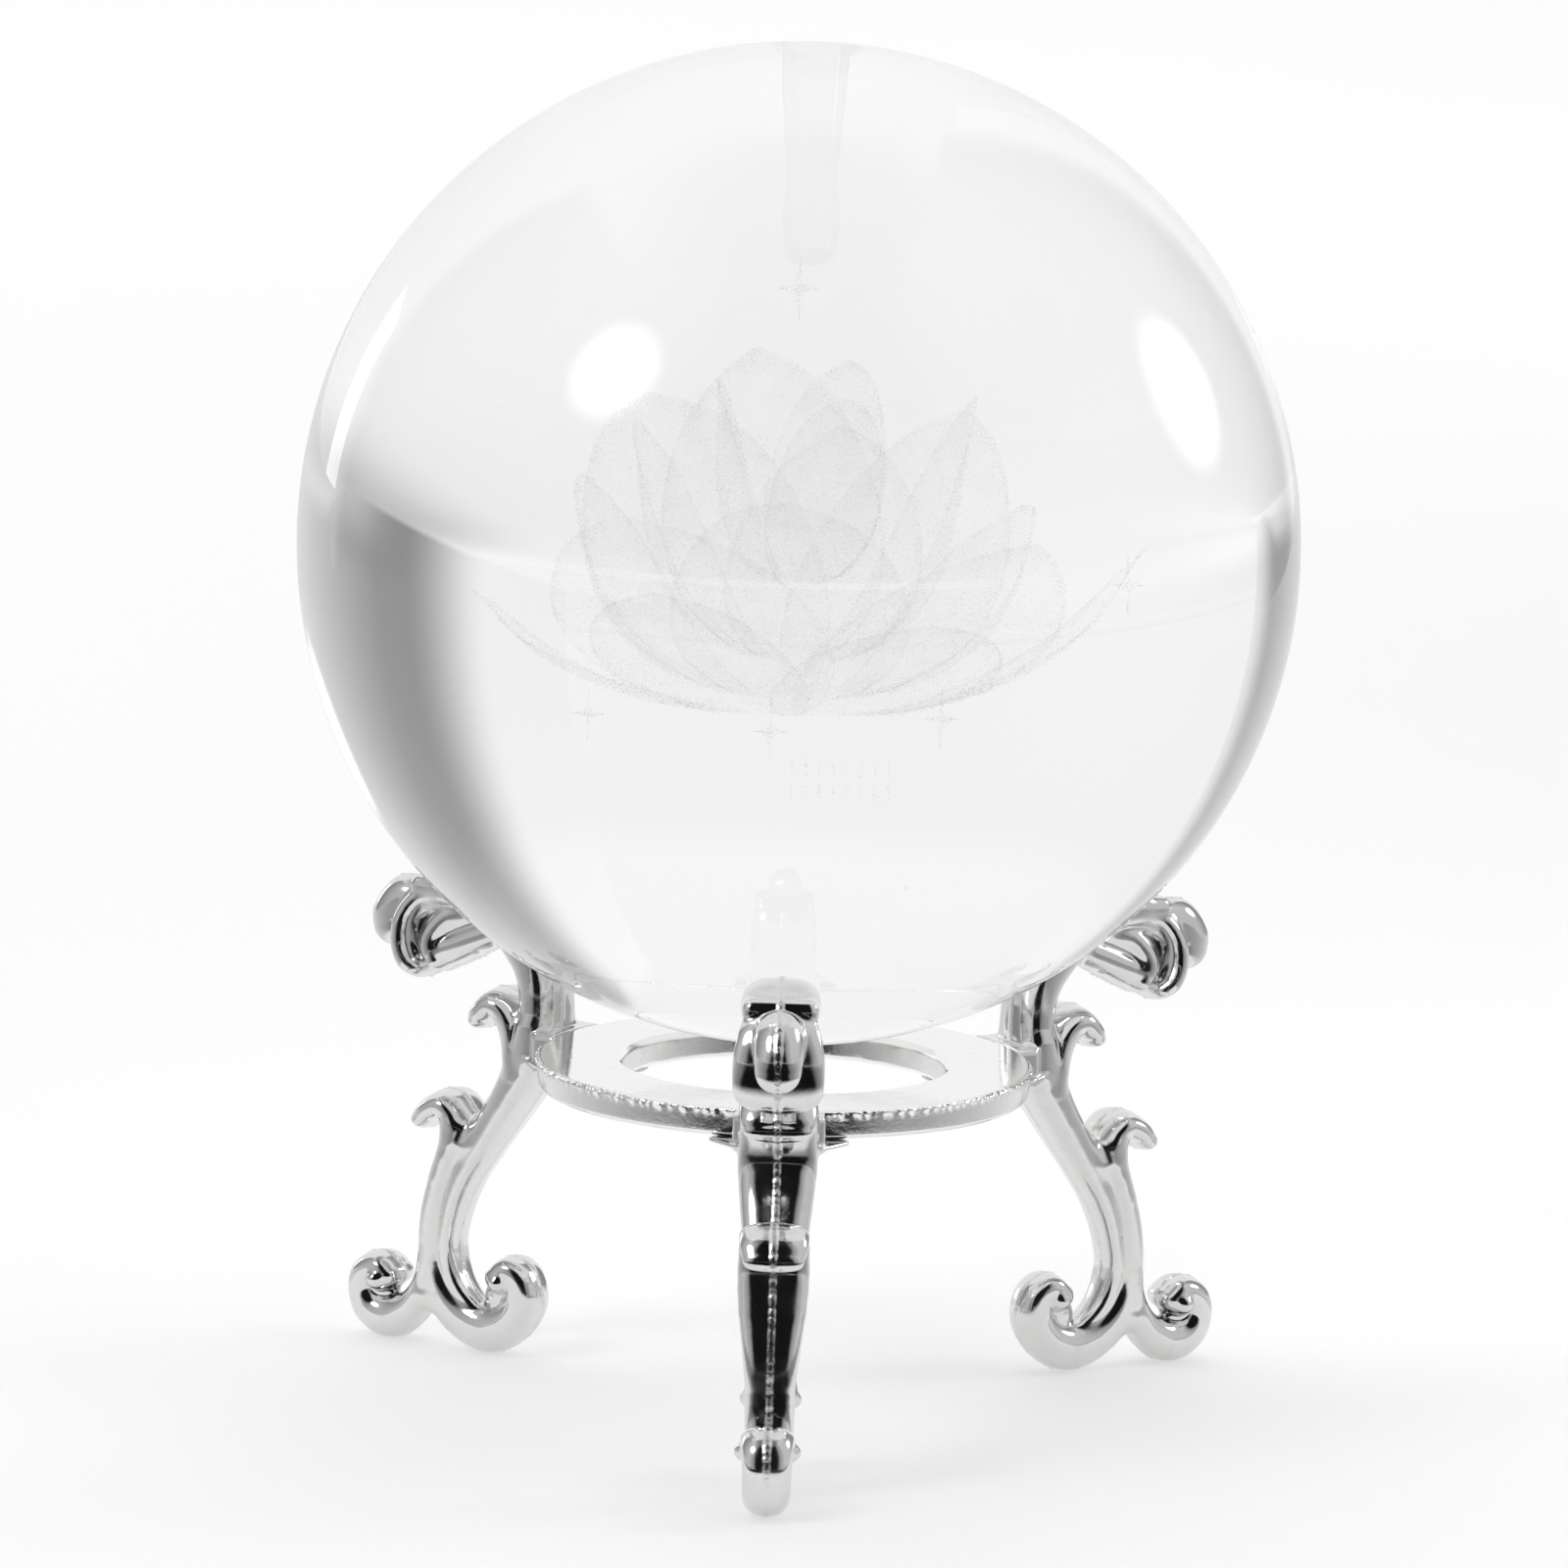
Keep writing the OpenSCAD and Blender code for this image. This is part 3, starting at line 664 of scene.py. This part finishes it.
def cube_ball(n, radius, centre):
    """Even quads on a sphere: a cube's six faces, n by n, pushed out and joined."""
    s = np.tan(np.linspace(-1, 1, n + 1) * math.pi / 4)
    a, b = np.meshgrid(s, s, indexing="ij")
    one = np.ones_like(a)
    P, Q, base = [], [], 0
    quad = grid_quads(n + 1, n + 1)
    for g in ((a, b, one), (b, a, -one), (one, a, b), (-one, b, a), (b, one, a), (a, -one, b)):
        P.append(np.stack(g, -1).reshape(-1, 3)); Q.append(quad + base); base += (n + 1) ** 2
    P, Q = np.vstack(P), np.vstack(Q)
    P = P / np.linalg.norm(P, axis=1)[:, None]
    _, first, inv = np.unique(np.round(P * 1e6).astype(np.int64), axis=0,
                              return_index=True, return_inverse=True)
    P = P[first]; Q = inv.reshape(-1)[Q]
    return P * radius + centre, Q

BV, BQ = cube_ball(BALL_STEPS, BALL_R, BALL_C)
make("crystal_ball_glass", BV, BQ, M_GLASS, "ball", "crystal_ball")

# ---------------------------------------------------------------- laser engraving inside the ball
# an open blossom drawn in fine dots: rings of petals round an upright axis, with sparkles and a tick block

rng = np.random.default_rng(5)

def petal(azim, spread, r0, z0, r1, z1, belly, lip=0.0, peak=0.0, wave=0.0, n_s=44, n_w=64):
    """Piece of a bowl: from (r0, z0) at its foot to (r1, z1) at its rim, spread degrees to each side."""
    s = np.linspace(0, 1, n_s)[:, None]; w = np.linspace(-1, 1, n_w)[None, :]
    top = np.sqrt(np.clip(1 - np.abs(w) ** 2.6, 0, 1)) * (1 - peak) + peak * (1 - np.abs(w) ** 0.9)
    u = s * (0.12 + 0.88 * top)
    r = r0 + (r1 - r0) * u ** 0.75 + belly * np.sin(math.pi * u ** 0.9) \
        + lip * np.clip(u - 0.78, 0, 1) ** 2 * 20
    z = z0 + (z1 - z0) * u ** 1.55 - 0.5 * lip * np.clip(u - 0.85, 0, 1) ** 2 * 20
    z = z + wave * np.sin(3.1 * w + azim) * u ** 3
    a = np.radians(azim + spread * w * (1 - 0.25 * u * peak))
    return np.stack([r * np.cos(a), r * np.sin(a), z + 0 * w], -1)

PETALS = []
# outer ring, laid open: azimuth, reach and height of the rim
for k, (azim, reach, rim) in enumerate((
        (-6, 18.9, 1.0), (52, 16.2, -1.6), (118, 16.6, -0.6),
        (182, 16.9, -2.6), (238, 15.6, -0.8), (300, 16.4, -2.2))):
    PETALS.append(petal(azim, 40, 2.5, -8.9, reach, rim, 1.6, 0.9, 0.75 if k in (0, 3) else 0.25, 0.3))
for k in range(5):       # middle ring, half raised
    PETALS.append(petal(-20 + k * 72, 46, 2.2, -8.0, 12.6 - 0.8 * (k % 2), 3.9 + 1.1 * (k % 3),
                        2.2, 0.7, 0.15, 0.5))
for k in range(4):       # inner ring
    PETALS.append(petal(14 + k * 90, 52, 1.8, -6.0, 8.8 + 0.6 * (k % 2), 7.6 + 0.8 * (k % 2),
                        1.6, 0.6, 0.2, 0.4))
for k in range(3):       # heart, nearly closed
    PETALS.append(petal(60 + k * 120, 62, 1.0, -2.0, 4.4, 9.2, 1.2, 0.2, 0.1, 0.3))

pts = []
for S in PETALS:
    ns, nw = S.shape[:2]
    def pick(s, w):
        fs, fw = np.clip(s, 0, 1) * (ns - 1.001), np.clip(w, 0, 1) * (nw - 1.001)
        i, j = fs.astype(int), fw.astype(int)
        a, b = (fs - i)[:, None], (fw - j)[:, None]
        return (S[i, j] * (1 - a) + S[i + 1, j] * a) * (1 - b) \
            + (S[i, j + 1] * (1 - a) + S[i + 1, j + 1] * a) * b
    m = 520                       # dots along the petal's rim
    w = rng.random(m)
    pts.append(pick(np.full(m, 0.999) - np.abs(rng.normal(0, 0.02, m)), w) + rng.normal(0, 0.06, (m, 3)))
    m = 1600                      # and over its face
    pts.append(pick(rng.random(m) ** 0.6, rng.random(m)) + rng.normal(0, 0.08, (m, 3)))
for cx, cz, r in ((-0.35, 14.0, 1.5), (17.8, -1.7, 1.3), (-10.8, -9.3, 1.1),
                  (-1.2, -9.9, 1.2), (7.7, -9.0, 1.2)):
    m = 260                       # four-point sparkle
    d = rng.integers(0, 4, m); u = rng.random(m) ** 1.5
    ax = np.array([(1, 0), (0, 1), (-1, 0), (0, -1)])[d] * np.array([0.75, 1.3])
    off = rng.normal(0, 1, (m, 2)) * (0.13 * (1 - u) ** 1.5)[:, None]
    pts.append(np.stack([cx + r * (ax[:, 0] * u + off[:, 0]), rng.normal(0, 0.08, m),
                         cz + r * (ax[:, 1] * u + off[:, 1])], 1))
for row in range(2):              # plain block of short ticks
    for k in range(8):
        m = 22
        pts.append(np.stack([2.5 + (k - 3.5) * 0.72 + rng.normal(0, 0.05, m), rng.normal(0, 0.05, m),
                             -11.7 - row * 1.25 + rng.uniform(-0.45, 0.45, m)], 1))
m = 34                            # stray specks and seeds in the glass
d = rng.normal(0, 1, (m, 3)); d /= np.linalg.norm(d, axis=1)[:, None]
pts.append(d * (36 * rng.random(m) ** 0.4)[:, None])
pts = np.vstack(pts) + BALL_C
# every dot is a tiny tetrahedron, turned at random
size = 0.038 * rng.uniform(0.7, 1.35, len(pts))
size[-m:] *= 1.6
grain = np.array([(1, 1, 1), (1, -1, -1), (-1, 1, -1), (-1, -1, 1)], float) * 0.8
tri = np.array([(0, 1, 2), (0, 3, 1), (0, 2, 3), (1, 3, 2)])
ax = rng.normal(0, 1, (len(pts), 3)); ax /= np.linalg.norm(ax, axis=1)[:, None]
spin = rng.random(len(pts)) * TURN
c, s_ = np.cos(spin)[:, None, None], np.sin(spin)[:, None, None]
o = np.broadcast_to(grain, (len(pts), 4, 3))
k_ = np.broadcast_to(ax[:, None, :], o.shape)
o = o * c + np.cross(k_, o) * s_ + k_ * (k_ * o).sum(-1, keepdims=True) * (1 - c)
V = (pts[:, None, :] + o * size[:, None, None]).reshape(-1, 3)
T3 = (tri[None] + 4 * np.arange(len(pts))[:, None, None]).reshape(-1, 3)
make("engraving_dots", V, T3, M_DOTS, "ball", smooth=False)
# a thin haze on each petal, denser at its rim
V, Q, rims, base = [], [], [], 0
for S in PETALS:
    rims.append(np.repeat(np.linspace(0, 1, S.shape[0]) ** 9, S.shape[1]))
    ns, nw = S.shape[:2]
    V.append(S.reshape(-1, 3) + BALL_C)
    Q.append(grid_quads(ns, nw) + base)
    base += ns * nw
make("engraving_veil", np.vstack(V), np.vstack(Q), M_VEIL, "ball",
     rim=np.concatenate(rims))

# ---------------------------------------------------------------- studio
# metres from here on

def flat(name, corners, mat, in_view=False):
    """One flat face of the studio, hidden from the camera's own rays unless in_view."""
    me = bpy.data.meshes.new(name)
    me.from_pydata([tuple(c) for c in corners], [], [tuple(range(len(corners)))])
    me.materials.append(mat)
    ob = bpy.data.objects.new(name, me)
    bpy.context.scene.collection.objects.link(ob)
    if not in_view: ob.visible_camera = False
    return ob

FLOOR = 8.0                 # half the floor's side
FLOOR_Z = -2e-5             # just under the feet
m, t = material("floor_pale")
co = t.add("ShaderNodeTexCoord").outputs["Object"]
tone = t.remap(t.noise(co, 1.5, 3.0, 0.5), 0.3, 0.7, 0.0, 1.0)
p = t.add("ShaderNodeBsdfPrincipled", Base_Color=t.mixc(tone, grey(0.60), grey(0.61)), Roughness=0.75)
p.inputs["Specular IOR Level"].default_value = 0.1
# painted light: the floor also glows by itself, more the farther out, which lifts it and weakens the shadows on it
p.inputs["Emission Color"].default_value = grey(1.0)
far = t.add("ShaderNodeVectorMath", {"operation": "LENGTH"}, i0=co).outputs["Value"]
t.nt.links.new(t.remap(far, 0.8, 3.5, 0.42, 0.58), p.inputs["Emission Strength"])
t.finish(p)
flat("studio_floor", [(x * FLOOR, y * FLOOR, FLOOR_Z) for x, y in ((-1, -1), (1, -1), (1, 1), (-1, 1))],
     m, True)

SOFT = 0.15                 # a card dissolves over this at its near end and its top
FOOT = (0.04, 0.006)        # and over this above the floor: up to y = 0.20, and beyond y = 0.26

def card_mat(name, low, high, y0, y1, fade, end, near, top):
    """Card that glows by itself instead of being lit, its brightness painted light: low at y0 and high at y1,
    rising a little with height; it pales by end from y = fade[0] to fade[1].
    It is solid from y = near and up to z = top, and dissolves beyond them and at its foot."""
    m, t = material(name)
    co = t.add("ShaderNodeSeparateXYZ", Vector=t.add("ShaderNodeTexCoord").outputs["Object"]).outputs
    s = t.math("MULTIPLY_ADD", co[2], 0.12, t.remap(co[1], y0, y1, low, high, False))
    s = t.math("ADD", s, t.remap(co[1], fade[0], fade[1], 0.0, end))
    # painted light: the card glows paler just above the floor over its near part
    paler = t.math("MULTIPLY", t.remap(co[2], 0.0, 0.045, 0.22, 0.0), t.remap(co[1], 0.28, 0.42, 1.0, 0.0))
    s = t.math("ADD", s, paler)
    solid = t.math("MULTIPLY", t.remap(co[1], near - SOFT, near), t.remap(co[2], top, top + SOFT, 1.0, 0.0))
    foot = t.math("DIVIDE", co[2], t.remap(co[1], 0.20, 0.26, *FOOT))
    t.glow(s, t.math("MULTIPLY", solid, t.remap(foot, 0.0, 1.0)))
    return m

def card(name, mat_name, x, near, end_y, top, *tones):
    """Upright card at x, from y = near to end_y and up to top, with its dissolving margin outside that."""
    near_y, top_z = near - SOFT, top + SOFT
    flat(name, [(x, end_y, 0), (x, near_y, 0), (x, near_y, top_z), (x, end_y, top_z)],
         card_mat(mat_name, *tones, near, top))

# grey cards beside the set, glowing by themselves as painted light, give the glass its darker bands and the plating
# its tone
card("card_right", "card_grey", 0.30, -0.16, 1.00, 0.85,
     0.24, 0.62, 0.36, 0.02, (0.42, 0.68), 0.72)
card("card_left", "card_grey_left", -0.35, -0.06, 0.28, 0.50,
     0.24, 0.50, 0.20, -0.06, (0.21, 0.28), 0.60)

# soft shade on the floor on both sides of the right card's foot, seen only through the glass
SHADE_Z = 0.0008
m, t = material("card_shade")
xyz = t.add("ShaderNodeSeparateXYZ", Vector=t.add("ShaderNodeTexCoord").outputs["Object"]).outputs
cover = t.math("MULTIPLY", t.remap(xyz[0], 0.15, 0.30), t.remap(xyz[1], 0.40, 0.64, 1.0, 0.0))
cover = t.math("MULTIPLY", cover, t.remap(xyz[0], 0.30, 0.45, 1.0, 0.0))
cover = t.math("MULTIPLY", cover, t.remap(xyz[1], -0.31, -0.16))
t.glow(0.56, cover)
shade = flat("card_shade", [(x, y, SHADE_Z) for x, y in ((0.15, -0.31), (0.45, -0.31), (0.45, 0.64), (0.15, 0.64))],
             m)
shade.visible_diffuse = shade.visible_shadow = shade.visible_glossy = False

def off_front(t, x, y):
    """Angle from the camera's side (-Y), 0 to 180 degrees either way."""
    return t.math("MULTIPLY", t.math("ABSOLUTE", t.math("ARCTAN2", x, t.math("MULTIPLY", y, -1.0))), DEG)

# disc laid round the set that glows black in front and grey at the sides: a painted reflection, seen only in
# reflections
SHEET_R, SHEET_Z = 2.2, 0.0004
m, t = material("painted_reflection_disc")
co = t.add("ShaderNodeTexCoord").outputs["Object"]
xyz = t.add("ShaderNodeSeparateXYZ", Vector=co).outputs
turn = off_front(t, xyz[0], xyz[1])
far = t.add("ShaderNodeVectorMath", {"operation": "LENGTH"}, i0=co).outputs["Value"]
tone = t.math("MULTIPLY", t.remap(turn, 29.0, 44.0, 0.006, 0.23), t.remap(turn, 44.0, 130.0, 1.0, 3.4, False))
t.glow(tone, t.remap(far, 0.053, 0.076))
reflection_sheet = flat("painted_reflection_disc", [(SHEET_R * math.cos(a), SHEET_R * math.sin(a), SHEET_Z)
                            for a in (k * math.pi / 16 for k in range(32))], m)
reflection_sheet.visible_diffuse = reflection_sheet.visible_shadow = reflection_sheet.visible_transmission = False

AIM_Z = 0.07                # about the ball's middle
def softbox(name, azim, elev, dist, size, power):
    """Round diffused lamp, brightest at its middle: azim is from the camera's side towards +X."""
    a, e = math.radians(azim), math.radians(elev)
    d = Vector((math.sin(a) * math.cos(e), -math.cos(a) * math.cos(e), math.sin(e)))
    m, t = material(name)
    co = t.add("ShaderNodeTexCoord").outputs["Object"]
    r = t.add("ShaderNodeVectorMath", {"operation": "LENGTH"}, i0=co).outputs["Value"]
    s = t.remap(r, 0.12 * size, 0.5 * size, power, 0.0)
    light = t.add("ShaderNodeEmission", Color=WHITE, Strength=s)
    clear = t.add("ShaderNodeBsdfTransparent", Color=WHITE)
    t.finish(t.add("ShaderNodeAddShader", i0=light.outputs[0], i1=clear.outputs[0]))
    r = 0.5 * size
    ob = flat(name, [(r * math.cos(k * math.pi / 24), r * math.sin(k * math.pi / 24), 0) for k in range(48)], m)
    ob.location = Vector((0, 0, AIM_Z)) + d * dist
    ob.rotation_mode = "QUATERNION"
    ob.rotation_quaternion = (-d).to_track_quat("-Z", "Y")

softbox("softbox_left", -54, 39, 0.9, 0.40, 9.0)
softbox("softbox_right", 106, 21, 0.27, 0.13, 7.0)
m, t = material("window_panel")
t.glow(2.4)
window = flat("window_panel", [(-0.50, 0.16, 0.06), (-0.34, 0.36, 0.06),
                               (-0.34, 0.36, 0.23), (-0.50, 0.16, 0.19)], m)
window.visible_transmission = False

# wide soft lamp overhead
d = bpy.data.lights.new("top_light", "AREA"); d.shape = "SQUARE"; d.size = 2.6; d.energy = 30.0
top = bpy.data.objects.new("top_light", d)
bpy.context.scene.collection.objects.link(top)
top.location = (0.0, 0.1, 2.6)
top.rotation_mode = "QUATERNION"
top.rotation_quaternion = (-top.location).to_track_quat("-Z", "Y")
top.visible_glossy = top.visible_transmission = False

# room: the camera sees one pale tone, and the glass a pale room on every side; reflections and the light
# that falls on things see it pale behind and dark on the camera's side
w = bpy.data.worlds.new("studio_world"); bpy.context.scene.world = w; w.use_nodes = True
w.node_tree.nodes.clear()
t = Tree(w.node_tree)
out = t.add("ShaderNodeOutputWorld")
d = t.add("ShaderNodeSeparateXYZ", Vector=t.add("ShaderNodeTexCoord").outputs["Generated"])
x, y, z = d.outputs
az = off_front(t, x, y)
el = t.math("MULTIPLY", t.math("ARCSINE", z), DEG)
behind = t.math("MULTIPLY", t.remap(az, 29.0, 42.0, 0.008, 0.38), t.remap(az, 42.0, 98.0, 1.0, 2.48, False))
zenith = t.remap(el, 56.0, 78.0, 1.0, 0.30)
level = t.math("MULTIPLY", behind, zenith)
path = t.add("ShaderNodeLightPath").outputs

def instead(level, other, where):
    """other where where is 1, and level where it is 0."""
    return t.math("ADD", t.math("MULTIPLY", level, t.math("SUBTRACT", 1.0, where)),
                  t.math("MULTIPLY", other, where))

level = instead(level, t.remap(az, 30.0, 98.0, 0.90, 1.0), path["Is Transmission Ray"])
level = instead(level, 0.93, path["Is Camera Ray"])
bg = t.add("ShaderNodeBackground", Color=WHITE, Strength=level)
t.nt.links.new(bg.outputs[0], out.inputs[0])

# ---------------------------------------------------------------- camera

# placed so that the ball, the ring and the legs fall where the photograph has them
CAM_AT = (0.00768, -0.68910, 0.16741)
cd = bpy.data.cameras.new("camera")
cam = bpy.data.objects.new("camera", cd)
bpy.context.scene.collection.objects.link(cam)
bpy.context.scene.camera = cam
cd.sensor_width, cd.lens = 36.0, 200.2
cd.clip_start, cd.clip_end = 0.05, 50
back = Vector((0.0119, -0.98587, 0.16708)).normalized()
right = Vector((0.999465, 0.016822, 0.028062))
right = (right - back * right.dot(back)).normalized()
up = back.cross(right)
cam.matrix_world = Matrix([(right[k], up[k], back[k], CAM_AT[k]) for k in range(3)] + [(0, 0, 0, 1)])

# light paths long enough for the glass and what is inside it
sc = bpy.context.scene
sc.view_settings.view_transform = "Standard"
sc.cycles.max_bounces = 16
sc.cycles.transmission_bounces = 12
sc.cycles.transparent_max_bounces = 48
sc.cycles.glossy_bounces = 6
sc.cycles.caustics_reflective = True
sc.cycles.caustics_refractive = True
sc.cycles.blur_glossy = 0.3
sc.cycles.sample_clamp_indirect = 6.0
